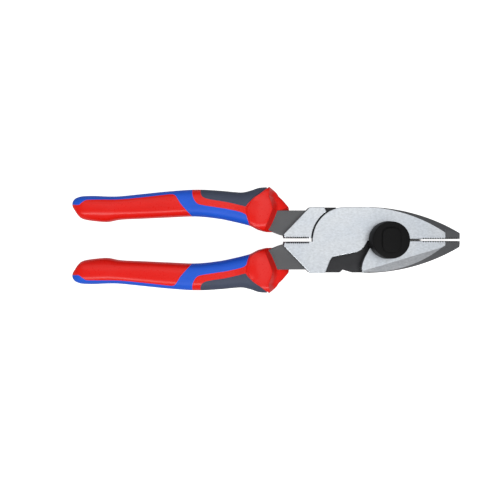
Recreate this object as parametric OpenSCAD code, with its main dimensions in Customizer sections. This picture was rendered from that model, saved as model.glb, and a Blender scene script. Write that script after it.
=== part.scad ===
// Lineman pliers with two-colour moulded grips.
// Origin: on the pivot's axis, on the surface the pliers lie on.
// +X points to the jaw tips, +Y to the upper handle, +Z up through the pivot's head.
// Both steel halves are one forging design: the lower half is the upper one turned
// half a turn about X, so each half has its plate on the opposite side of the joint.

/* [Head] */
// Thickness of the head
head_thick = 14; // [12:0.5:15]
// Half of the width of the head
head_half_w = 20.3; // [19.5:0.1:21]
// Distance from the pivot to the jaw tips
jaw_reach = 45.3; // [43:0.1:48]
// Radius of the jaws' outer edge, seen from above
jaw_edge_r = 118; // [112:1:124]
// Where the jaws' outer edge starts to curve
jaw_edge_x = -14; // [-16:0.5:-12]
// Where the flat ground face ends and the nose begins
nose_x = 35.6; // [33:0.1:38]
// How far the nose falls below the ground face at the tip
nose_drop = 2.6; // [1:0.1:4]

/* [Joint] */
// Distance from the pivot back to the centre of the front plate's round end
plate_back = 25.7; // [25:0.1:26]
// Radius of the back plate's round end, about the pivot itself
back_plate_r = 42.7; // [42:0.1:43]
// Gap between the round plate and the other half's shoulder
seam_gap = 0.7; // [0.6:0.05:1]
// Running clearance between the two plates
plate_gap = 0.1; // [0.05:0.05:0.2]
// Radius of the round eye under the collar
eye_r = 10.9; // [10.6:0.1:11.2]
// Radius of the bolt's shoulder, where the moving half turns
shoulder_r = 6; // [5.5:0.1:6.5]
// Radius of the bolt's shank, where the fixed half is clamped
shank_r = 5; // [4:0.1:5.2]
// Running clearance of the shoulder in its bore, on the radius
run_gap = 0.05; // [0.02:0.01:0.08]
// Radius of the black collar at its foot
collar_r = 11.6; // [11.4:0.1:12]
// Radius of the collar at its top
collar_top_r = 11.2; // [11:0.1:11.6]
// Height of the collar above the ground face
collar_h = 12.5; // [6:0.1:14]
// Length of the bolt's rounded crown, across the pliers
crown_w = 15; // [13:0.5:16]
// Width of the crown, along the pliers
crown_d = 11.5; // [9:0.5:13]
// Height of the crown above the collar
crown_h = 1.2; // [1:0.1:3]
// Thickness of the washer under the nut
washer_t = 0.8; // [0.5:0.1:1.2]
// Width of the nut across its flats
nut_flats = 19; // [17:0.5:20]

/* [Teeth and cutters] */
// Pitch of the teeth at the jaw tips
front_pitch = 1.5; // [1.2:0.1:2]
// Pitch of the teeth behind the joint
rear_pitch = 1.3; // [1.1:0.1:1.6]
// Depth of a tooth
tooth_depth = 0.6; // [0.3:0.05:0.7]
// Half of the gap between the front teeth, at rest
front_half_gap = 0.62; // [0.6:0.01:0.8]
// Half of the gap between the rear teeth, at rest
rear_half_gap = 1.05; // [1:0.01:1.2]
// Half of the gap between the cutting edges, at rest
cutter_half_gap = 0.06; // [0.05:0.01:0.1]
// Where the cutting edges end and the front teeth begin
cutter_end_x = 21.3; // [19:0.1:23]

/* [Handles] */
// Distance from the pivot to the end of the handles
handle_reach = 194.7; // [192:0.1:198]
// Thickness of the steel inside the grip
tang_thick = 9; // [7:0.5:10]
// Thickness of the grip's softer outer layer
skin = 1.6; // [1.2:0.1:2]
// Room between the steel and the sleeve moulded on it
moulding_gap = 0.05; // [0.02:0.01:0.1]

/* [Hidden] */
nut_t = 3.2;
head_z = nut_t + washer_t;
mid_z = head_z + head_thick / 2;
face_z = head_z + head_thick;
rear_x = -63.8;
shoulder_x = -47.7;

// ---------- curves ----------

// A point on a smooth curve through p[1] and p[2], between its neighbours p[0] and p[3]
function curve_point(p, t) = 0.5 * (2 * p[1] + (p[2] - p[0]) * t
    + (2 * p[0] - 5 * p[1] + 4 * p[2] - p[3]) * t * t
    + (3 * p[1] - p[0] - 3 * p[2] + p[3]) * t * t * t);

// A smooth curve through every point of a list, with steps points on each span
function smooth_curve(points, steps) = let (last = len(points) - 1) concat(
    [for (i = [0:last - 1], k = [0:steps - 1])
        curve_point([points[max(i - 1, 0)], points[i], points[i + 1], points[min(i + 2, last)]], k / steps)],
    [points[last]]);

// Points on an arc about a centre, from one angle to another
function arc(centre, r, a0, a1, steps) =
    [for (i = [0:steps]) let (a = a0 + (a1 - a0) * i / steps) centre + r * [cos(a), sin(a)]];

// Saw teeth along X from x0 to x1 on the line y, cut away in the direction of side
function teeth(x0, x1, y, pitch, side) = let (count = floor((x1 - x0) / pitch)) concat(
    [for (i = [0:count - 1], k = [0, 1]) [x0 + (i + k / 2) * pitch, y + k * side * tooth_depth]],
    [[x0 + count * pitch, y]]);

function reversed(points) = [for (i = [len(points) - 1:-1:0]) points[i]];

// ---------- the steel halves, drawn as the upper handle's half ----------
// Its root, behind the joint, is on the side y > 0 and its jaw on the side y < 0.

front_teeth = teeth(cutter_end_x, jaw_reach - 0.01, -front_half_gap, front_pitch, -1);
rear_teeth = teeth(rear_x + 1.4, shoulder_x + 0.6, rear_half_gap, rear_pitch, 1);
root_start = [[shoulder_x, head_half_w], [rear_x, rear_half_gap + 2.5], [rear_x + 0.3, rear_half_gap + 1.1]];

// The mouth side of a jaw, from the cutting edges to the tip, and its outer edge back to the head
mouth = concat([[cutter_end_x, -cutter_half_gap]], front_teeth, [[jaw_reach, -front_half_gap]]);
tip_turn = asin((jaw_reach - jaw_edge_x) / jaw_edge_r);
outer_edge = arc([jaw_edge_x, jaw_edge_r - head_half_w], jaw_edge_r, -90 + tip_turn, -90, 24);

// The plate's cut-back edge, which gives the other jaw's heel room to swing. The front plate
// is cut back further along its side than the back plate.
relief_edge = [[-24.4, 8.5], [-18.5, 7.3], [-16.1, 6], [-14.3, 4.2], [-13.1, 2.2], [-12.3, 0.4]];
front_relief = concat([[-38.2, head_half_w], [-35.1, 12.4], [-33.9, 10.6], [-32.6, 10.1]], relief_edge);
back_relief = concat([[-30.6, head_half_w], [-28.6, 10.6], [-27.6, 9.3]], relief_edge);
// The jaw's heel, which stops the other plate's relief edge at full opening
heel = [[-15, -head_half_w], [-16, -17.3], [-15.4, -14.3], [-14.1, -10.8], [-12.6, -8.2], [-11, -5.2]];

// A round end goes from the rear teeth round to the head's side, about a centre on the X axis
function end_arc(end, grow, side) = let (r = end[1] + grow, side_y = min(head_half_w, r))
    arc([end[0], 0], r, 180 - asin(rear_half_gap / r), 180 - side * asin(side_y / r), 36);

// The half on the level where the other half's plate is: the root and the jaw, with nothing between
module open_outline(other_end) {
    eye_room = eye_r + 0.35;
    polygon(concat(root_start, rear_teeth, shoulder_arc(other_end)));
    polygon(concat(heel,
        arc([0, 0], eye_room, 205, 360 - asin(cutter_half_gap / eye_room), 30), mouth, outer_edge));
}

// The shoulder behind the other plate's round end; a high one stops short at a small notch
function shoulder_arc(other_end) = let (r = other_end[1] + seam_gap)
    other_end[0] < 0
    ? concat(arc([other_end[0], 0], r, 180 - asin(rear_half_gap / r), 123.9, 30), [[-38.8, head_half_w]])
    : arc([other_end[0], 0], r, 180 - asin(rear_half_gap / r), 180 - asin(head_half_w / r), 30);

// The half on its own plate's level: root, round plate, eye and jaw in one
module plate_outline(own_end, notched) {
    notch = notched ? [[-28.3, -head_half_w], [-26.6, -18.6], [-20.8, -head_half_w]] : [];
    polygon(concat(root_start, rear_teeth, end_arc(own_end, 0, -1), notch, reversed(outer_edge),
        reversed(mouth), [[8, -cutter_half_gap], [-8, 0]],
        reversed(notched ? back_relief : front_relief)));
}

// The steel bar that runs from the head through the guard and inside the grip
tang_outer = [[-182, 22.6], [-170, 23.4], [-150, 25.5], [-130, 27.1], [-115, 27.6], [-100, 26],
    [-90, 24.4], [-84, 22], [-78, 19.2], [-72, 18.3]];
tang_inner = [[-182, 16], [-170, 15.4], [-150, 16.5], [-130, 17.6], [-115, 18.2], [-100, 16.6],
    [-90, 14.8], [-84, 12.2], [-78, 8.6], [-74, 6.4], [-70.5, 5], [-66, 3.3], [-61.8, 2.2]];

module tang(grow) {
    translate([0, 0, mid_z - tang_thick / 2 - grow]) linear_extrude(tang_thick + 2 * grow)
        polygon(concat(
            [for (p = smooth_curve(tang_outer, 3)) p + [p[0] < -181 ? -grow : 0, grow]],
            [[-50, 18.3 + grow], [-50, 3]],
            [for (p = reversed(smooth_curve(tang_inner, 3))) p - [p[0] < -181 ? grow : 0, grow]]));
}

// The nose and the outer edge of the jaws fall away from the ground faces, on both faces.
// Where the face is ground twice, and so lies lower, the edge's relief is cut further in.
module jaw_relief(ground_twice) {
    edge_r = 95;
    further_in = 1.1;
    edge_x = -17;
    edge_y = 20.4;
    fall = 2;
    reach = 60;
    for (side = [0, 1]) let (top_r = edge_r - (ground_twice && side == 0 ? further_in : 0))
        translate([0, 0, side * 2 * mid_z]) mirror([0, 0, side]) {
            translate([nose_x, -30, face_z - 0.8]) rotate([0, atan((nose_drop - 0.8) / (jaw_reach - nose_x)), 0])
                cube([30, 60, 10]);
            difference() {
                translate([-12, -reach, mid_z]) cube([reach, 2 * reach, head_thick]);
                translate([edge_x, edge_r - edge_y, mid_z])
                    cylinder(h = head_thick / 2, r1 = top_r + fall * head_thick / 2, r2 = top_r, $fn = 180);
            }
        }
}

// The knife edges: each jaw is bevelled from both faces to an edge at mid thickness
module cutter_bevels() {
    rise = 0.6;
    start_x = eye_r + 0.35;
    for (side = [0, 1])
        translate([0, 0, side * 2 * mid_z]) mirror([0, 0, side])
            translate([start_x, -cutter_half_gap, mid_z]) rotate([atan(rise / (head_thick / 2)), 0, 0])
                cube([cutter_end_x - start_x, 4, head_thick]);
}

front_round_end = [-plate_back, head_half_w];
back_round_end = [0, back_plate_r];

// One whole steel half as the upper handle's: its plate is the lower level.
// own_end and other_end are the round ends of its own plate and of the other half's.
module steel_half(bore_r, own_end, other_end, notched, ground_twice) {
    level = (head_thick - plate_gap) / 2;
    difference() {
        union() {
            translate([0, 0, head_z]) linear_extrude(level) plate_outline(own_end, notched);
            translate([0, 0, head_z]) linear_extrude(head_thick) open_outline(other_end);
            translate([0, 0, head_z]) cylinder(h = level, r = eye_r, $fn = 96);
            tang(0);
        }
        translate([0, 0, head_z - 1]) cylinder(h = head_thick, r = bore_r, $fn = 96);
        jaw_relief(ground_twice);
        cutter_bevels();
        if (ground_twice) ground_bevel();
    }
}

// The lower jaw's face is ground a second time along its outer side, at a shallow angle
module ground_bevel() {
    from = [-14, -18.7];
    to = [nose_x, -3.9];
    heading = atan2(to[1] - from[1], to[0] - from[0]);
    translate([from[0], from[1], face_z]) rotate([0, 0, heading]) rotate([8, 0, 0])
        translate([-20, -40, 0]) cube([90, 40, 10]);
}

module upper_handle_half() {
    color("lightsteelblue")
        steel_half(shank_r + 0.02, back_round_end, front_round_end, true, true);
}

module lower_handle_half() {
    color("silver") translate([0, 0, 2 * mid_z]) rotate([180, 0, 0])
        steel_half(shoulder_r + run_gap, front_round_end, back_round_end, false, false);
}

// ---------- the pivot ----------

module pivot_bolt() {
    crown_z = face_z + collar_h;
    corner_r = 3.5;
    color("dimgray") {
        cylinder(h = mid_z + 1, r = shank_r, $fn = 96);
        translate([0, 0, mid_z]) cylinder(h = crown_z - mid_z + 1, r = shoulder_r, $fn = 96);
        translate([0, 0, crown_z]) {
            linear_extrude(crown_h) square([crown_d, crown_w - 2 * corner_r], center = true);
            linear_extrude(crown_h) square([crown_d - 2 * corner_r, crown_w], center = true);
            for (x = [-1, 1], y = [-1, 1])
                translate([x * (crown_d / 2 - corner_r), y * (crown_w / 2 - corner_r)])
                    cylinder(h = crown_h, r = corner_r, $fn = 48);
        }
    }
}

module pivot_collar() {
    edge = 0.8;
    color("black") difference() {
        union() {
            translate([0, 0, face_z + plate_gap])
                cylinder(h = collar_h - plate_gap - edge, r1 = collar_r, r2 = collar_top_r, $fn = 96);
            translate([0, 0, face_z + collar_h - edge])
                cylinder(h = edge, r1 = collar_top_r, r2 = collar_top_r - edge, $fn = 96);
        }
        translate([0, 0, face_z - 1]) cylinder(h = collar_h + 2, r = shoulder_r + 0.02, $fn = 96);
    }
}

module pivot_washer() {
    color("gray") translate([0, 0, nut_t]) difference() {
        cylinder(h = washer_t, r = collar_r, $fn = 96);
        translate([0, 0, -1]) cylinder(h = washer_t + 2, r = shank_r + 0.02, $fn = 96);
    }
}

module pivot_nut() {
    color("black") difference() {
        cylinder(h = nut_t, r = nut_flats / 2 / cos(30), $fn = 6);
        translate([0, 0, -1]) cylinder(h = nut_t + 2, r = shank_r + 0.02, $fn = 96);
    }
}

// ---------- the grips, drawn for the upper handle ----------

// Stations along the grip: x, outer side, inner side, half of the thickness
grip_stations = [
    [-handle_reach, 23.2, 21, 3],
    [-193.9, 24.7, 19.4, 5.2],
    [-192.3, 26, 17.3, 7],
    [-190, 26.9, 14.2, 8.4],
    [-187.5, 27.3, 12.7, 9],
    [-180.5, 27.4, 11.6, 9.5],
    [-173, 27.1, 11.2, 9.5],
    [-165, 27.2, 12.6, 9.2],
    [-150, 28.7, 13.3, 9.3],
    [-135, 30.2, 14, 9.5],
    [-118, 31.3, 14.6, 9.6],
    [-104, 30.7, 13.2, 9.5],
    [-94, 29.8, 11.2, 9.4],
    [-89, 29.6, 10, 9.7],
    [-84, 30.7, 8.6, 10.4],
    [-79, 32.4, 6.1, 10.9],
    [-74, 33, 4.9, 10.8],
    [-70, 31.4, 4, 9.6],
    [-65, 26.8, 3.6, 7.4],
    [-61, 20.2, 3.2, 5.4]
];

// A rounded-box section, as a ring of points, that lies inset inside the grip's surface
ring_points = 24;
roundness = 0.62;
function power(v) = sign(v) * pow(abs(v), roundness);
function grip_ring(s, inset) = let (mid = (s[1] + s[2]) / 2, half_w = (s[1] - s[2]) / 2 - inset)
    [for (k = [0:ring_points - 1]) let (a = 360 * k / ring_points)
        [s[0], mid + half_w * power(cos(a)), mid_z + (s[3] - inset) * power(sin(a))]];

// A closed skin over rings that follow each other along +X
module loft(rings) {
    n = len(rings[0]);
    last = len(rings) - 1;
    polyhedron(
        points = [for (ring = rings) each ring],
        faces = concat(
            [[for (k = [0:n - 1]) k]],
            [for (i = [0:last - 1], k = [0:n - 1]) let (a = i * n + k, b = i * n + (k + 1) % n)
                [a, a + n, b + n, b]],
            [[for (k = [n - 1:-1:0]) last * n + k]]));
}

module grip_body(inset) {
    stations = smooth_curve(grip_stations, 2);
    inner = [for (s = stations) s + [s[0] < -190 ? inset : 0, 0, 0, 0]];
    loft([for (s = inner) grip_ring(s, min(inset, s[3] - 2, (s[1] - s[2]) / 2 - 0.5))]);
}

module through(points) {
    translate([0, 0, -10]) linear_extrude(60) polygon(points);
}

// Edges between the colours, seen from above
panel_spine = [[-192, 21.6], [-189, 21.6], [-185.5, 24.3], [-180, 24.7], [-164, 24.9], [-149, 26.3], [-134, 28]];
panel_front = [[-134, 28], [-130.4, 27.4], [-126.6, 21.8], [-120.4, 14.8], [-118, 12]];
line_inner = [[-119.9, 33], [-119.6, 27.2], [-117, 22.6], [-112, 21.1], [-98, 18.9], [-88, 16.2], [-86, 12.5], [-84.3, 8]];
line_outer = [[-114.6, 33], [-114.6, 28.2], [-111.1, 25.3], [-98, 23], [-87.2, 20.4]];
guard_edge = [[-87.2, 20.4], [-85.6, 22.4], [-82.2, 25.9], [-77.8, 28.9], [-73.6, 33]];

function blue_zone() = concat([[-210, 45], [-119.9, 45]], smooth_curve(line_inner, 4), [[-84.3, -5], [-118, -5]],
    reversed(smooth_curve(panel_front, 4)), reversed(smooth_curve(panel_spine, 3)), [[-210, 21.6]]);
function grey_zone() = concat([[-114.6, 45]], smooth_curve(line_outer, 4), smooth_curve(guard_edge, 3), [[-73.6, 45]]);
guard_end = [[-210, -5], [-72.6, -5], [-71.3, 4], [-61.3, 20], [-59, 26], [-59, 45], [-210, 45]];

module grip_sleeve() {
    difference() {
        union() {
            grip_body(skin);
            difference() {
                intersection() {
                    grip_body(0);
                    through(guard_end);
                }
                through(blue_zone());
                through(grey_zone());
            }
        }
        tang(moulding_gap);
        translate([-72.6, -5, -5]) linear_extrude(40) polygon([[0, 0], [1.3, 9], [11.3, 25], [30, 60], [30, 0]]);
    }
}

module overmould(zone) {
    difference() {
        intersection() {
            grip_body(0);
            through(zone);
            through(guard_end);
        }
        grip_body(skin);
    }
}

module lower_side() {
    mirror([0, 1, 0]) children();
}

module upper_grip_sleeve() { color("red") grip_sleeve(); }
module upper_blue_overmould() { color("royalblue") overmould(blue_zone()); }
module upper_grey_pad() { color("darkslategray") overmould(grey_zone()); }
module lower_grip_sleeve() { color("red") lower_side() grip_sleeve(); }
module lower_blue_overmould() { color("royalblue") lower_side() overmould(blue_zone()); }
module lower_grey_pad() { color("darkslategray") lower_side() overmould(grey_zone()); }

upper_handle_half();
lower_handle_half();
pivot_bolt();
pivot_collar();
pivot_washer();
pivot_nut();
upper_grip_sleeve();
upper_blue_overmould();
upper_grey_pad();
lower_grip_sleeve();
lower_blue_overmould();
lower_grey_pad();
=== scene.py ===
"""Lineman pliers: two forged steel halves on a bolted pivot, with moulded two-colour grips.

Units are metres in Blender; lengths below are written in millimetres and scaled by MM.
+X runs to the jaw tips, +Y to the upper handle, +Z up through the pivot. Each part of the
script makes one piece or group of like pieces, in the order the pliers are put together.
"""
import math

import bmesh
import bpy
from mathutils import Matrix, Vector


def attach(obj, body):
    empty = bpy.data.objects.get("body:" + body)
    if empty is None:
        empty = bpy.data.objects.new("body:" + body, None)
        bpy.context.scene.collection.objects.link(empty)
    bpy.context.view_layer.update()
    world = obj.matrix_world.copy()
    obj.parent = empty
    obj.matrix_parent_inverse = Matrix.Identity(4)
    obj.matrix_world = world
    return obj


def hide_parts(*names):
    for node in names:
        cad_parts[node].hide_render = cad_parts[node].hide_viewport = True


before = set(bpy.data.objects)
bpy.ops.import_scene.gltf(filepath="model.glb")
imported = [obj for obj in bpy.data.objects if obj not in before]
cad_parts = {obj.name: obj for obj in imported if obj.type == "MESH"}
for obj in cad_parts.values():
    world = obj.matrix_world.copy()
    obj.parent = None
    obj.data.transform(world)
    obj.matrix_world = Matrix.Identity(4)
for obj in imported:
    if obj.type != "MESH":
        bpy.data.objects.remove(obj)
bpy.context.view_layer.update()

# ---------------------------------------------------------------------------------------
# Studio. The pliers lie flat on a pale table and the camera looks straight down from above
# the handles. The light is soft: a box overhead, a wide one on the far side and a strip near.

MM = 0.001
MID_Z = 11.0


def linear(hex_colour):
    """A hex sRGB colour as the linear RGBA that a shader takes."""
    parts = [int(hex_colour[i:i + 2], 16) / 255 for i in (1, 3, 5)]
    return [p / 12.92 if p <= 0.04045 else ((p + 0.055) / 1.055) ** 2.4 for p in parts] + [1.0]


def add_node(tree, kind, inputs=None, **settings):
    """Adds a node with its settings. An input is given a value, or another node's output."""
    node = tree.nodes.new(kind)
    for name, value in settings.items():
        setattr(node, name, value)
    for name, value in (inputs or {}).items():
        if isinstance(value, bpy.types.NodeSocket):
            tree.links.new(value, node.inputs[name])
        else:
            node.inputs[name].default_value = value
    return node


def start_material(name):
    """A new material with an empty node tree."""
    material = bpy.data.materials.new(name)
    material.use_nodes = True
    material.node_tree.nodes.clear()
    return material, material.node_tree


def add_mesh(name, bm, *materials):
    """Turns a bmesh into an object at the origin that shows the given materials."""
    mesh = bpy.data.meshes.new(name)
    bm.to_mesh(mesh)
    bm.free()
    for material in materials:
        mesh.materials.append(material)
    piece = bpy.data.objects.new(name, mesh)
    bpy.context.scene.collection.objects.link(piece)
    return piece


camera_x, camera_z = -90.6, 471.0
half_view_mm = 149.7
camera_data = bpy.data.cameras.new("studio_camera")
camera_data.sensor_width = 36
camera_data.lens = camera_data.sensor_width / 2 * (camera_z - MID_Z) / half_view_mm
camera_data.clip_start = 0.01
camera = bpy.data.objects.new("studio_camera", camera_data)
camera.location = (camera_x * MM, 0, camera_z * MM)
bpy.context.scene.collection.objects.link(camera)
bpy.context.scene.camera = camera

# Lit white acrylic: its glow keeps the ground white to the eye. The glow is for the camera
# alone and none of it falls on the pliers, so that their lower edges stay dark
table_white, tree = start_material("lit_white_acrylic")
seen_by = add_node(tree, "ShaderNodeLightPath")
glow = add_node(tree, "ShaderNodeMapRange", {"Value": seen_by.outputs["Is Camera Ray"], "To Min": 0.0,
                                            "To Max": 0.95})
shader = add_node(tree, "ShaderNodeBsdfPrincipled", {
    "Base Color": linear("#c8c8c8"), "Roughness": 0.9, "Specular IOR Level": 0.1,
    "Emission Color": linear("#ffffff"), "Emission Strength": glow.outputs["Result"]})
add_node(tree, "ShaderNodeOutputMaterial", {"Surface": shader.outputs["BSDF"]})
bm = bmesh.new()
bmesh.ops.create_grid(bm, x_segments=1, y_segments=1, size=2.0)
table = add_mesh("table_top", bm, table_white)

world = bpy.data.worlds.new("soft_room")
world.use_nodes = True
world.node_tree.nodes["Background"].inputs["Color"].default_value = linear("#f4f6fb")
world.node_tree.nodes["Background"].inputs["Strength"].default_value = 0.3
bpy.context.scene.world = world
bpy.context.scene.view_settings.view_transform = "Standard"


def add_light(name, place, size, power, colour):
    """A square soft box that faces the middle of the pliers."""
    data = bpy.data.lights.new(name, "AREA")
    data.shape = "RECTANGLE"
    data.size, data.size_y = size
    data.energy = power
    data.color = linear(colour)[:3]
    light = bpy.data.objects.new(name, data)
    light.location = place
    aim = Vector((-0.07, 0, 0.01)) - light.location
    light.rotation_euler = aim.to_track_quat("-Z", "Y").to_euler()
    bpy.context.scene.collection.objects.link(light)


add_light("overhead_box", (0.14, 0.0, 1.3), (0.8, 0.6), 2.1, "#ffffff")
add_light("far_side_box", (-0.1, 0.5, 1.0), (1.4, 0.9), 3.3, "#ffffff")
add_light("near_side_strip", (-0.12, -0.62, 0.85), (1.4, 0.15), 7.0, "#ffffff")

# ---------------------------------------------------------------------------------------
# Forged halves. Each is drop-forged tool steel, blackened all over, then ground bright on
# its flat faces and milled at the joint. Each is a merged copy of its plain node, given
# broken edges, sloping tooth notches and sharper cutters.

HEAD_LOW, HEAD_HIGH = 4.0, 18.0
REAR_X, NOSE_X = -64.4, 35.6
JOINT_LAYER, FACE_LAYER = 0.3, 4.4
MOUTH_HALF_WIDTH = 1.8
EDGE_BREAK = 0.35
FRONT_CREST, REAR_CREST = 0.62, 1.05
NOTCH_DEPTH, NOTCH_REACH = 0.95, 3.2
REAR_TEETH_END, FRONT_TEETH_START = -47.0, 21.5
CUTTER_START, CUTTER_END = 11.24, 21.4
CUTTER_BEVEL_Y = 0.66
CUTTER_SPLAY, CUTTER_FACE = 0.0024, 0.8


def ground_material(name, cool, warm, gloss_range):
    """Ground tool steel: bright and satin, with the fine speckle of the grinding wheel (drawn
    at about 0.8 mm, coarser than the real grit, so that it shows) and a faint cloudiness."""
    material, tree = start_material(name)
    place = add_node(tree, "ShaderNodeTexCoord").outputs["Object"]
    along_head = add_node(tree, "ShaderNodeMapping", {"Vector": place, "Scale": (700, 1200, 1200)})
    speckle = add_node(tree, "ShaderNodeTexNoise", {"Vector": along_head.outputs["Vector"], "Scale": 1.0,
                                                   "Detail": 4.0})
    clouds = add_node(tree, "ShaderNodeTexNoise", {"Vector": place, "Scale": 60.0, "Detail": 2.0})
    cloud_tint = add_node(tree, "ShaderNodeMix", {"Factor": clouds.outputs["Fac"], "A": linear(cool),
                                                 "B": linear(warm)}, data_type="RGBA")
    shine = add_node(tree, "ShaderNodeMapRange", {"Value": speckle.outputs["Fac"], "From Min": 0.3,
                                                 "From Max": 0.7, "To Min": 0.82, "To Max": 1.08})
    tint = add_node(tree, "ShaderNodeMix", {
        "Factor": 1.0, "A": cloud_tint.outputs["Result"], "B": shine.outputs["Result"]},
        data_type="RGBA", blend_type="MULTIPLY")
    gloss = add_node(tree, "ShaderNodeMapRange", {"Value": speckle.outputs["Fac"], "To Min": gloss_range[0],
                                                 "To Max": gloss_range[1]})
    bump = add_node(tree, "ShaderNodeBump", {"Height": speckle.outputs["Fac"], "Strength": 0.25,
                                            "Distance": 0.00004})
    shader = add_node(tree, "ShaderNodeBsdfPrincipled", {
        "Base Color": tint.outputs["Result"], "Metallic": 1.0, "Roughness": gloss.outputs["Result"],
        "Normal": bump.outputs["Normal"]})
    add_node(tree, "ShaderNodeOutputMaterial", {"Surface": shader.outputs["BSDF"]})
    return material


ground_steel = ground_material("fine_ground_tool_steel", "#b0b7bf", "#c3c5c6", (0.28, 0.42))
# The lower jaw's second bevel is ground on a coarser wheel, so duller, and given a darker tone as painted shade
# for its tilt toward the dim near side
bevel_painted_shade = ground_material("painted_shade_bevel_tool_steel", "#8f9398", "#a0a1a2", (0.36, 0.5))

black_forged, tree = start_material("blackened_forged_steel")
# Black-oxide forging skin: dark grey, dull, with the fine pitting that scale leaves
place = add_node(tree, "ShaderNodeTexCoord").outputs["Object"]
pits = add_node(tree, "ShaderNodeTexNoise", {"Vector": place, "Scale": 1600.0, "Detail": 3.0})
patches = add_node(tree, "ShaderNodeTexNoise", {"Vector": place, "Scale": 90.0, "Detail": 4.0})
tint = add_node(tree, "ShaderNodeMix", {"Factor": patches.outputs["Fac"], "A": linear("#4d4e50"),
                                       "B": linear("#616263")}, data_type="RGBA")
bump = add_node(tree, "ShaderNodeBump", {"Height": pits.outputs["Fac"], "Strength": 0.35, "Distance": 0.00008})
shader = add_node(tree, "ShaderNodeBsdfPrincipled", {
    "Base Color": tint.outputs["Result"], "Metallic": 0.35, "Roughness": 0.5, "Normal": bump.outputs["Normal"]})
add_node(tree, "ShaderNodeOutputMaterial", {"Surface": shader.outputs["BSDF"]})

joint_face_painted_shade, tree = start_material("painted_shade_joint_face_steel")
# The plates' rubbing faces: milled and blackened, glossier than the skin, and darker with painted shade of the
# deep recess between the plates
place = add_node(tree, "ShaderNodeTexCoord").outputs["Object"]
joint_shade_mottle = add_node(tree, "ShaderNodeTexNoise", {"Vector": place, "Scale": 220.0, "Detail": 3.0})
tint = add_node(tree, "ShaderNodeMix", {"Factor": joint_shade_mottle.outputs["Fac"], "A": linear("#17181a"),
                                       "B": linear("#2b2b2e")}, data_type="RGBA")
shader = add_node(tree, "ShaderNodeBsdfPrincipled", {"Base Color": tint.outputs["Result"], "Metallic": 0.35,
                                                    "Roughness": 0.42})
add_node(tree, "ShaderNodeOutputMaterial", {"Surface": shader.outputs["BSDF"]})

mouth_painted_shade, tree = start_material("painted_shade_bite_steel")
# The bite: matt steel, nearly black with painted shade of the narrow gap between the jaws,
# so that each notch shows as a dark dot and the cutters' bevels as a dark line
place = add_node(tree, "ShaderNodeTexCoord").outputs["Object"]
shade_mottle = add_node(tree, "ShaderNodeTexNoise", {"Vector": place, "Scale": 500.0, "Detail": 3.0})
tint = add_node(tree, "ShaderNodeMix", {"Factor": shade_mottle.outputs["Fac"], "A": linear("#0b0b0b"),
                                       "B": linear("#161617")}, data_type="RGBA")
shader = add_node(tree, "ShaderNodeBsdfPrincipled", {"Base Color": tint.outputs["Result"], "Roughness": 0.9,
                                                    "Specular IOR Level": 0.02})
add_node(tree, "ShaderNodeOutputMaterial", {"Surface": shader.outputs["BSDF"]})


def is_mouth(item):
    """Whether an edge or face lies in the mouth, between the jaws or between the roots."""
    return all(abs(v.co.y) < MOUTH_HALF_WIDTH * MM for v in item.verts)


def steel_finish(face):
    """A face's finish: 0 ground fine, 1 blackened, 2 blackened with painted shade of the joint recess, 3 ground
    bevel with painted shade, 4 painted shade of the mouth.
    """
    centre = face.calc_center_median() / MM
    if is_mouth(face):
        # Mouth faces get the near-black painted shade
        return 4
    if abs(face.normal.z) < 0.98 or not REAR_X < centre.x < NOSE_X:
        return 1
    if abs(centre.z - MID_Z) < JOINT_LAYER:
        # Faces in the joint recess get painted shade
        return 2
    if abs(centre.z - MID_Z) < FACE_LAYER:
        return 1
    # Faces tilted off flat get the bevel's darker painted-shade tone
    return 0 if abs(face.normal.z) > 0.996 else 3


def slope_notches(bm):
    """Deepens the notches between the teeth at both faces and runs them out at mid thickness."""
    def crest(v):
        line = (FRONT_CREST if v.co.x > 0 else REAR_CREST) * MM
        toothed = v.co.x > FRONT_TEETH_START * MM or v.co.x < REAR_TEETH_END * MM
        return line if toothed and abs(v.co.y) > line + 0.3 * MM else None

    walls = [f for f in bm.faces if is_mouth(f)]
    for v in {v for f in walls for v in f.verts if crest(v)}:
        v.co.y = math.copysign(crest(v) + NOTCH_DEPTH * MM, v.co.y)
    for height in (HEAD_LOW + NOTCH_REACH, HEAD_HIGH - NOTCH_REACH):
        near = {g for f in bm.faces if abs(f.calc_center_median().y) < 2 * MM and abs(f.normal.z) < 0.5
                for g in (f, *f.edges, *f.verts)}
        cut = bmesh.ops.bisect_plane(bm, geom=list(near), plane_co=(0, 0, height * MM), plane_no=(0, 0, 1))
        for v in (g for g in cut["geom_cut"] if isinstance(g, bmesh.types.BMVert) and crest(g)):
            v.co.y = math.copysign(crest(v), v.co.y)


def sharpen_cutter(bm):
    """Splays the cutting edge, so that the two meet along their whole length as the jaws shut,
    and opens its bevels at both faces."""
    for v in (v for v in bm.verts if CUTTER_START < v.co.x / MM < CUTTER_END):
        if abs(v.co.y) < 0.61 * MM and abs(v.co.z / MM - MID_Z) < 0.1:
            v.co.y = math.copysign(CUTTER_SPLAY * v.co.x, v.co.y)
        elif abs(abs(v.co.y) / MM - CUTTER_BEVEL_Y) < 0.01:
            v.co.y = math.copysign(CUTTER_FACE * MM, v.co.y)


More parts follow.
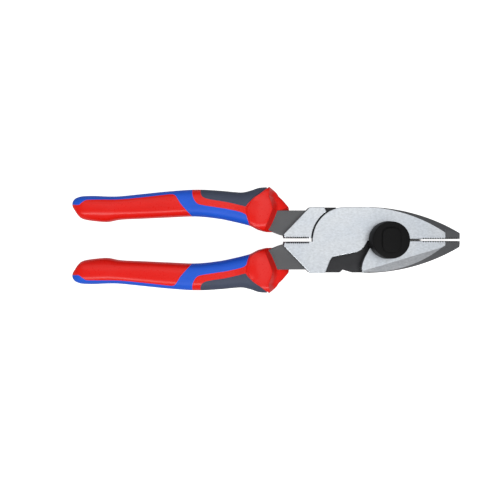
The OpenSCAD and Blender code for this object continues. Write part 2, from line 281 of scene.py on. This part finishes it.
def forged_half(name, node):
    bm = bmesh.new()
    bm.from_mesh(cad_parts[node].data)
    bmesh.ops.remove_doubles(bm, verts=bm.verts, dist=0.002 * MM)
    bmesh.ops.dissolve_limit(bm, angle_limit=math.radians(0.4), verts=bm.verts, edges=bm.edges)
    for face in bm.faces:
        face.material_index = steel_finish(face)
    slope_notches(bm)
    sharpen_cutter(bm)
    sharp = [e for e in bm.edges if len(e.link_faces) == 2 and e.calc_face_angle() > math.radians(28)
             and e.is_convex and not is_mouth(e) and e.calc_length() > 0.3 * MM]
    made = bmesh.ops.bevel(bm, geom=sharp, offset=EDGE_BREAK * MM, segments=2, profile=0.5,
                           affect="EDGES", material=-1, clamp_overlap=False)
    for face in made["faces"]:
        ground = {n.material_index for e in face.edges for n in e.link_faces} & {0, 3}
        if ground and not is_mouth(face):
            face.material_index = min(ground)
    for face in bm.faces:
        face.smooth = False
    return add_mesh(name, bm, ground_steel, black_forged, joint_face_painted_shade, bevel_painted_shade, mouth_painted_shade)


def finish_piece(piece, body, node):
    """Says which body a piece moves with, which plain node it stands for."""
    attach(piece, body)
    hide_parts(node)


upper_half = forged_half("upper_forged_half", "upper_handle_half")
finish_piece(upper_half, "upper_handle", "upper_handle_half")
lower_half = forged_half("lower_forged_half", "lower_handle_half")
finish_piece(lower_half, "lower_handle", "lower_handle_half")


# ---------------------------------------------------------------------------------------
# Pivot bolt. A turned shoulder bolt stands in the joint. Its head is a low crown, milled to
# a rounded oblong, and its plain end is flush with the nut. Blackened steel.

SHANK_R, SHOULDER_R = 5.0, 6.0
COLLAR_TOP = 30.5

black_turned, tree = start_material("black_oxide_turned_steel")
# Black oxide on turned steel: near black with a satin sheen and faint turning marks
place = add_node(tree, "ShaderNodeTexCoord").outputs["Object"]
marks = add_node(tree, "ShaderNodeTexWave", {"Vector": place, "Scale": 380.0, "Distortion": 0.6, "Detail": 2.0},
                 wave_type="RINGS", rings_direction="Z")
haze = add_node(tree, "ShaderNodeTexNoise", {"Vector": place, "Scale": 260.0, "Detail": 3.0})
gloss = add_node(tree, "ShaderNodeMapRange", {"Value": haze.outputs["Fac"], "To Min": 0.42, "To Max": 0.55})
bump = add_node(tree, "ShaderNodeBump", {"Height": marks.outputs["Fac"], "Strength": 0.12, "Distance": 0.00002})
shader = add_node(tree, "ShaderNodeBsdfPrincipled", {
    "Base Color": linear("#161616"), "Specular IOR Level": 0.07, "Roughness": gloss.outputs["Result"],
    "Normal": bump.outputs["Normal"]})
add_node(tree, "ShaderNodeOutputMaterial", {"Surface": shader.outputs["BSDF"]})


def spin_outline(bm, outline):
    """Adds a turned solid: a closed outline of (radius, height) points, spun round the pivot."""
    points = [bm.verts.new((r * MM, 0, z * MM)) for r, z in outline]
    edges = [bm.edges.new(pair) for pair in zip(points, points[1:] + points[:1])]
    bmesh.ops.spin(bm, geom=points + edges, cent=(0, 0, 0), axis=(0, 0, 1), angle=math.tau, steps=128,
                   use_merge=True)
    bmesh.ops.remove_doubles(bm, verts=bm.verts, dist=0.002 * MM)
    bmesh.ops.recalc_face_normals(bm, faces=bm.faces)


def shade(bm, crease_degrees):
    """Smooth shading, with creases kept where faces meet at more than an angle."""
    for face in bm.faces:
        face.smooth = True
    for edge in bm.edges:
        edge.smooth = edge.calc_face_angle(0) < math.radians(crease_degrees)


bm = bmesh.new()
spin_outline(bm, [(0, 0), (SHANK_R - 0.4, 0), (SHANK_R, 0.4), (SHANK_R, MID_Z), (SHOULDER_R, MID_Z),
                  (SHOULDER_R, COLLAR_TOP), (0, COLLAR_TOP)])
crown_size, crown_corner = (11.5, 15.0, 1.2), 4.5
crown = bmesh.ops.create_cube(bm, size=MM)["verts"]
bmesh.ops.scale(bm, verts=crown, vec=crown_size)
bmesh.ops.translate(bm, verts=crown, vec=(0, 0, (COLLAR_TOP + crown_size[2] / 2) * MM))
uprights = [e for e in {e for v in crown for e in v.link_edges} if e.verts[0].co.z != e.verts[1].co.z]
bmesh.ops.bevel(bm, geom=uprights, offset=crown_corner * MM, segments=10, profile=0.5, affect="EDGES",
                material=-1)
rim = [e for e in bm.edges if all(v.co.z > (COLLAR_TOP + 1) * MM for v in e.verts)]
bmesh.ops.bevel(bm, geom=rim, offset=0.7 * MM, segments=4, profile=0.5, affect="EDGES", material=-1)
shade(bm, 40)
bolt = add_mesh("shoulder_bolt", bm, black_turned)
finish_piece(bolt, "upper_handle", "pivot_bolt")

# ---------------------------------------------------------------------------------------
# Collar. A tall turned sleeve round the bolt on the ground face, slightly narrower at its
# top, which carries the joint's pressure. Turned steel, blackened like the bolt.

EYE_FACE = 18.1
FOOT_R, TOP_R = 11.6, 11.2
bm = bmesh.new()
spin_outline(bm, [
    (SHOULDER_R + 0.02, EYE_FACE), (FOOT_R - 0.2, EYE_FACE), (FOOT_R, EYE_FACE + 0.2),
    (TOP_R, COLLAR_TOP - 0.7), (TOP_R - 0.2, COLLAR_TOP - 0.2), (TOP_R - 0.7, COLLAR_TOP),
    (SHOULDER_R + 0.02, COLLAR_TOP)])
shade(bm, 30)
collar = add_mesh("turned_collar", bm, black_turned)
finish_piece(collar, "upper_handle", "pivot_collar")

# ---------------------------------------------------------------------------------------
# Washer. A stamped flat washer between the nut and the back of the head, zinc plated.

WASHER_Z, WASHER_T = 3.2, 0.8

zinc_plate, tree = start_material("dull_zinc_plate")
# Zinc plate on stamped steel: mid grey, mottled by the crystals of the plating
place = add_node(tree, "ShaderNodeTexCoord").outputs["Object"]
crystals = add_node(tree, "ShaderNodeTexVoronoi", {"Vector": place, "Scale": 700.0})
tint = add_node(tree, "ShaderNodeMix", {"Factor": crystals.outputs["Distance"], "A": linear("#a9abad"),
                                       "B": linear("#c6c8cb")}, data_type="RGBA")
shader = add_node(tree, "ShaderNodeBsdfPrincipled", {"Base Color": tint.outputs["Result"], "Metallic": 1.0,
                                                    "Roughness": 0.42})
add_node(tree, "ShaderNodeOutputMaterial", {"Surface": shader.outputs["BSDF"]})

bm = bmesh.new()
spin_outline(bm, [
    (SHANK_R + 0.02, WASHER_Z), (FOOT_R - 0.15, WASHER_Z), (FOOT_R, WASHER_Z + 0.15),
    (FOOT_R, WASHER_Z + WASHER_T - 0.15), (FOOT_R - 0.15, WASHER_Z + WASHER_T),
    (SHANK_R + 0.02, WASHER_Z + WASHER_T)])
shade(bm, 30)
washer = add_mesh("flat_washer", bm, zinc_plate)
finish_piece(washer, "upper_handle", "pivot_washer")

# ---------------------------------------------------------------------------------------
# Nut. A thin hexagonal nut with chamfered corners on the bolt's end. Its hexagon is cut
# from bar, the chamfer is turned, and it is blackened like the bolt.

NUT_FLATS = 19.0


def combined(first, second, operation):
    """A new shape: the first one joined with, cut by or kept inside the second one."""
    solids = [add_mesh("solid", first), add_mesh("tool", second)]
    step = solids[0].modifiers.new("combine", "BOOLEAN")
    step.operation, step.object, step.solver = operation, solids[1], "EXACT"
    made = bmesh.new()
    made.from_mesh(solids[0].evaluated_get(bpy.context.evaluated_depsgraph_get()).to_mesh())
    for solid in solids:
        bpy.data.meshes.remove(solid.data)
    return made


nut_r = NUT_FLATS / 2 / math.cos(math.pi / 6)
hexagon = bmesh.new()
bmesh.ops.create_cone(hexagon, cap_ends=True, segments=6, radius1=nut_r * MM, radius2=nut_r * MM,
                      depth=WASHER_Z * MM)
corner_on_x = Matrix.Rotation(math.radians(30), 3, "Z")
bmesh.ops.rotate(hexagon, verts=hexagon.verts, cent=(0, 0, 0), matrix=corner_on_x)
bmesh.ops.translate(hexagon, verts=hexagon.verts, vec=(0, 0, WASHER_Z / 2 * MM))
barrel = bmesh.new()
spin_outline(barrel, [(SHANK_R + 0.02, -1), (nut_r - 2.8, -1), (nut_r + 0.1, 1), (nut_r + 0.1, 2.3),
                      (nut_r - 2.8, 4.3), (SHANK_R + 0.02, 4.3)])
bm = combined(hexagon, barrel, "INTERSECT")
shade(bm, 20)
nut = add_mesh("hexagon_nut", bm, black_turned)
finish_piece(nut, "upper_handle", "pivot_nut")

# ---------------------------------------------------------------------------------------
# Grip sleeves. A hard red plastic sleeve is moulded over each steel bar and ends in a wide
# finger guard at the head's side. The two soft colours are moulded into recesses in it.

SKIN = 1.6
RING_SEGMENTS = 96

# Stations along the upper grip: x, outer side, inner side, half of the thickness, and how
# round the inner side is (a higher value slopes more: the lip at the rear end)
grip_stations = [
    (-194.7, 23.2, 21.0, 2.2, 0.55), (-194.2, 24.2, 20.0, 4.2, 0.55), (-192.7, 25.8, 17.8, 6.4, 0.55),
    (-190.3, 26.8, 14.5, 8.1, 0.6), (-187.5, 27.3, 12.7, 8.9, 0.7), (-180.5, 27.4, 11.6, 9.4, 0.95),
    (-173.0, 27.1, 11.2, 9.5, 1.05), (-165.0, 27.2, 12.6, 9.2, 0.75), (-150.0, 28.7, 13.3, 9.3, 0.6),
    (-135.0, 30.2, 14.0, 9.5, 0.55), (-118.0, 31.3, 14.6, 9.6, 0.55), (-104.0, 30.7, 13.2, 9.5, 0.55),
    (-94.0, 29.8, 11.2, 9.4, 0.55), (-89.0, 29.6, 10.0, 9.6, 0.55), (-84.0, 30.7, 8.6, 9.9, 0.55),
    (-79.0, 32.4, 6.1, 10.2, 0.55), (-74.0, 32.8, 5.2, 10.2, 0.55)]

# The guard, seen from above: its flat top lies between these two edges, as (y, x) points
guard_left = [(5.8, -76.7), (9.6, -84.3), (12.3, -85.4), (17.2, -87.3), (19.4, -87.1), (22.1, -85.7),
              (25.9, -82.2), (28.9, -77.8), (31.7, -73.3), (33.0, -72.6)]
guard_right = [(5.8, -76.1), (12.3, -73.4), (17.8, -71.2), (20.5, -70.6), (27.0, -73.4), (31.9, -72.3),
               (33.0, -72.3)]
# Rings across the guard: part of the way over the top, or distance past it; half of the
# thickness; outer and inner side
guard_rings = [
    (0.0, 0.0, 9.2, 32.9, 5.4), (0.02, 0.0, 10.5, 32.9, 5.4), (0.07, 0.0, 10.85, 32.9, 5.4),
    (0.5, 0.0, 10.9, 32.9, 5.4), (0.97, 0.0, 10.87, 32.8, 5.4), (1.0, 0.1, 10.7, 32.7, 5.3),
    (1.0, 0.5, 10.0, 32.4, 5.2), (1.0, 2.0, 7.0, 31.4, 4.9), (1.0, 3.4, 4.6, 30.5, 4.9),
    (1.0, 5.5, 3.8, 28.7, 5.0), (1.0, 8.0, 2.8, 25.4, 7.0), (1.0, 9.6, 1.8, 22.0, 10.0),
    (1.0, 11.0, 0.8, 18.6, 14.0)]

# Edges between the colours of the upper grip, seen from above
panel_spine = [(-192, 21.6), (-189, 21.6), (-185.5, 24.3), (-180, 24.7), (-164, 24.9), (-149, 26.3), (-134, 28)]
panel_front = [(-134, 28), (-130.4, 27.4), (-126.6, 21.8), (-120.4, 14.8), (-118, 12)]
line_inner = [(-119.9, 33), (-119.6, 27.2), (-117, 22.6), (-112, 21.1), (-98, 18.9), (-88, 16.2), (-86, 12.5),
              (-84.3, 8)]
line_outer = [(-114.6, 33), (-114.6, 28.2), (-111.1, 25.3), (-98, 23), (-87.2, 20.4)]
guard_edge = [(-87.2, 20.4), (-85.6, 22.4), (-82.2, 25.9), (-77.8, 28.9), (-72.8, 33)]


def moulded_material(name, hex_colour, hex_deep, roughness, grain, relief):
    """A moulded plastic: even colour, soft sheen and the fine texture of the mould's wall."""
    material, tree = start_material(name)
    place = add_node(tree, "ShaderNodeTexCoord").outputs["Object"]
    drift = add_node(tree, "ShaderNodeTexNoise", {"Vector": place, "Scale": 45.0, "Detail": 2.0})
    tint = add_node(tree, "ShaderNodeMix", {"Factor": drift.outputs["Fac"], "A": linear(hex_deep),
                                           "B": linear(hex_colour)}, data_type="RGBA")
    texture = add_node(tree, "ShaderNodeTexNoise", {"Vector": place, "Scale": grain, "Detail": 2.0})
    bump = add_node(tree, "ShaderNodeBump", {"Height": texture.outputs["Fac"], "Strength": 0.1,
                                            "Distance": relief * MM})
    gloss = add_node(tree, "ShaderNodeMapRange", {"Value": texture.outputs["Fac"], "To Min": roughness - 0.02,
                                                 "To Max": roughness + 0.02})
    shader = add_node(tree, "ShaderNodeBsdfPrincipled", {
        "Base Color": tint.outputs["Result"], "Roughness": gloss.outputs["Result"],
        "Specular IOR Level": 0.28, "Normal": bump.outputs["Normal"]})
    add_node(tree, "ShaderNodeOutputMaterial", {"Surface": shader.outputs["BSDF"]})
    return material


# Hard polypropylene, moulded smooth: satin red with a faint orange-peel skin
red_plastic = moulded_material("red_moulded_polypropylene", "#f01a0f", "#e3170d", 0.28, 900.0, 0.02)


def smooth_path(points, step):
    """Points about a step apart on the smooth curve that runs through the given ones."""
    last = len(points) - 1
    path = []
    for i in range(last):
        a, b, c, d = (Vector(points[min(max(i + k, 0), last)]) for k in (-1, 0, 1, 2))
        count = max(1, round((c - b).length / step))
        path += [0.5 * (2 * b + (c - a) * t + (2 * a - 5 * b + 4 * c - d) * t ** 2
                        + (3 * b - a - 3 * c + d) * t ** 3)
                 for t in (k / count for k in range(count))]
    return path + [Vector(points[last])]


def along(points, at):
    """The second value of a list of pairs at a first value, on straight lines between them."""
    for (a, value_a), (b, value_b) in zip(points, points[1:]):
        if at <= b or (b, value_b) == points[-1]:
            return value_a + (value_b - value_a) * (min(max(at, a), b) - a) / (b - a)


def soft_square(turn, outer_power, top_power, inner_power):
    """A point on a rounded square, at a part of a full turn. Smaller powers are squarer."""
    across, up = math.cos(turn * math.tau), math.sin(turn * math.tau)
    side_power = outer_power if across > 0 else inner_power
    return math.copysign(abs(across) ** side_power, across), math.copysign(abs(up) ** top_power, up)


def body_ring(station, inset):
    x, outer, inner, half_t, inner_power = station
    inset = min(inset, half_t - 1.5, (outer - inner) / 2 - 0.5)

    def place(turn):
        across, up = soft_square(turn, 0.68, 0.62, inner_power)
        return Vector((x, (outer + inner) / 2 + ((outer - inner) / 2 - inset) * across,
                       MID_Z + (half_t - inset) * up))
    return place


def guard_ring(part, past, half_t, outer, inner):
    def place(turn):
        across, up = soft_square(turn, 0.42, 0.42, 0.42)
        y = (outer + inner) / 2 + (outer - inner) / 2 * across
        left, right = along(guard_left, y), along(guard_right, y)
        return Vector((left + (right - left) * part + past, y, MID_Z + half_t * up))
    return place


def loft(rings):
    """A closed skin over rings: a grid whose rows are wrapped round and set on the rings."""
    bm = bmesh.new()
    bmesh.ops.create_grid(bm, x_segments=len(rings) - 1, y_segments=RING_SEGMENTS, size=0.5)
    for v in bm.verts:
        v.co = rings[round((v.co.x + 0.5) * (len(rings) - 1))](v.co.y + 0.5) * MM
    bmesh.ops.remove_doubles(bm, verts=bm.verts, dist=0.001 * MM)
    bmesh.ops.holes_fill(bm, edges=bm.edges, sides=0)
    bmesh.ops.recalc_face_normals(bm, faces=bm.faces)
    return bm


def grip_body(inset):
    stations = smooth_path(grip_stations, 1.4)
    for s in stations:
        if s[0] < -190:
            s[0] += inset
    return loft([body_ring(s, inset) for s in stations])


def block(points):
    """An upright block over a plan outline, taller than the grip is thick."""
    bm = bmesh.new()
    base = bm.faces.new([bm.verts.new((x * MM, y * MM, -10 * MM)) for x, y in points])
    up = bmesh.ops.extrude_face_region(bm, geom=[base])["geom"]
    bmesh.ops.translate(bm, verts=[g for g in up if isinstance(g, bmesh.types.BMVert)], vec=(0, 0, 50 * MM))
    bmesh.ops.recalc_face_normals(bm, faces=bm.faces)
    return bm


def blue_recess():
    outline = [(-210, 45), (-119.9, 45)] + [tuple(p) for p in smooth_path(line_inner, 1)] + [
        (-84.3, -5), (-118, -5)] + [tuple(p) for p in reversed(smooth_path(panel_front, 1))] + [
        tuple(p) for p in reversed(smooth_path(panel_spine, 2)[:-1])] + [(-210, 21.6)]
    return combined(block(outline), grip_body(SKIN), "DIFFERENCE")


def grey_recess():
    outline = [(-114.6, 45)] + [tuple(p) for p in smooth_path(line_outer, 1)] + [
        tuple(p) for p in smooth_path(guard_edge, 1)[1:]] + [(-73.6, 45)]
    return combined(block(outline), grip_body(SKIN), "DIFFERENCE")


def twin(bm):
    """The same piece of the lower grip: the upper one mirrored in the pliers' middle."""
    other = bm.copy()
    bmesh.ops.scale(other, verts=other.verts, vec=(1, -1, 1))
    bmesh.ops.recalc_face_normals(other, faces=other.faces)
    return other


def add_pair(name, bm, material, node):
    """Adds a grip's piece for the upper handle, and its twin for the lower one."""
    shade(bm, 35)
    for side, mesh in (("lower", twin(bm)), ("upper", bm)):
        piece = add_mesh(f"{side}_{name}", mesh, material)
        finish_piece(piece, f"{side}_handle", f"{side}_{node}")


bm = combined(grip_body(0), blue_recess(), "DIFFERENCE")
bm = combined(bm, grey_recess(), "DIFFERENCE")
bm = combined(bm, loft([guard_ring(*ring) for ring in smooth_path(guard_rings, 0.7)]), "UNION")
add_pair("red_sleeve", bm, red_plastic, "grip_sleeve")

# ---------------------------------------------------------------------------------------
# Blue overmoulds. Soft blue rubber fills the recess along each grip's outer side and the
# inner front, flush with the red. It is moulded in place and bonded.

# Soft thermoplastic rubber: matt blue with a fine, even grain
blue_rubber = moulded_material("blue_overmoulded_rubber", "#1c60e0", "#1854ca", 0.5, 1500.0, 0.04)
add_pair("blue_panel", combined(grip_body(0), blue_recess(), "INTERSECT"), blue_rubber, "blue_overmould")

# ---------------------------------------------------------------------------------------
# Grey pads. Dark grey rubber under the fingers, between the red line and the guard, on each
# grip's outer side. Moulded last, flush with the red round it.

# The same kind of rubber in slate grey, with a slightly rougher grain for the fingers
grey_rubber = moulded_material("grey_overmoulded_rubber", "#474e61", "#3d4355", 0.56, 1300.0, 0.06)
add_pair("grey_pad", combined(grip_body(0), grey_recess(), "INTERSECT"), grey_rubber, "grey_pad")
